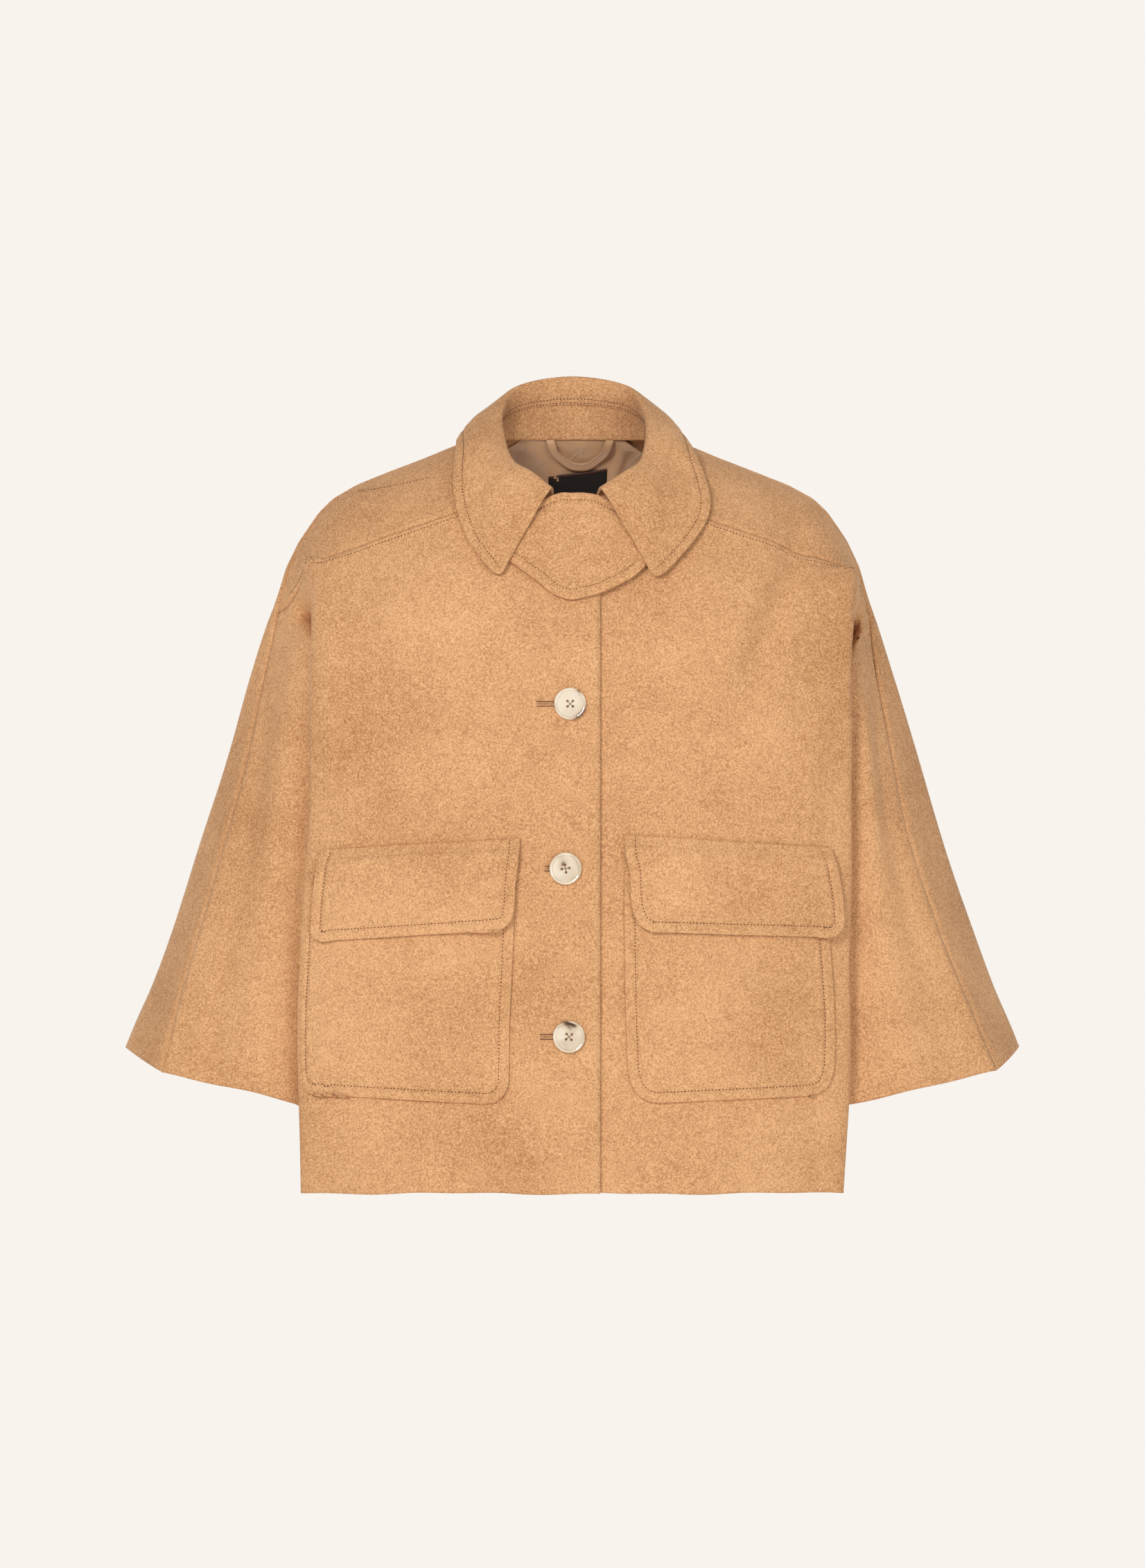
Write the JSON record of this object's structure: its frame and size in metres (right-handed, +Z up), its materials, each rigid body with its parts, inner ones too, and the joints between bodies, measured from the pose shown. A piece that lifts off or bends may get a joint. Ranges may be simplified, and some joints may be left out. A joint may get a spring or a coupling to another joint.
{
  "type": "cape",
  "caption": "Short boxy wool cape jacket with wide cape sleeves, a turned-down collar over a pointed throat tab, a buttoned front and flapped patch pockets, hollow as worn.",
  "frame": {"origin": "between the wearer's shoulders, midway between the neck's sides, at the height of the shoulder line by the neck", "axes": "+Z up, the front of the garment faces -Y, +X to the wearer's left"},
  "size_m": [0.7741, 0.271, 0.7061],
  "materials": {
    "wool": "brushed wool felt, matt",
    "satin": "satin lining",
    "label": "woven, bare",
    "horn": "polished horn look"
  },
  "bodies": {
    "root": {"front_right": "wool", "front_left": "wool", "back": "wool", "yoke_right": "wool", "yoke_left": "wool", "collar_stand": "wool", "collar_fall": "wool", "throat_tab": "wool", "pocket_right": "wool", "pocket_left": "wool", "pocket_flap_right": "wool", "pocket_flap_left": "wool", "hanger_loop": "wool", "button_top": "horn", "button_middle": "horn", "button_bottom": "horn", "back_lining": "satin", "neck_label": "label"}
  },
  "joints": []
}
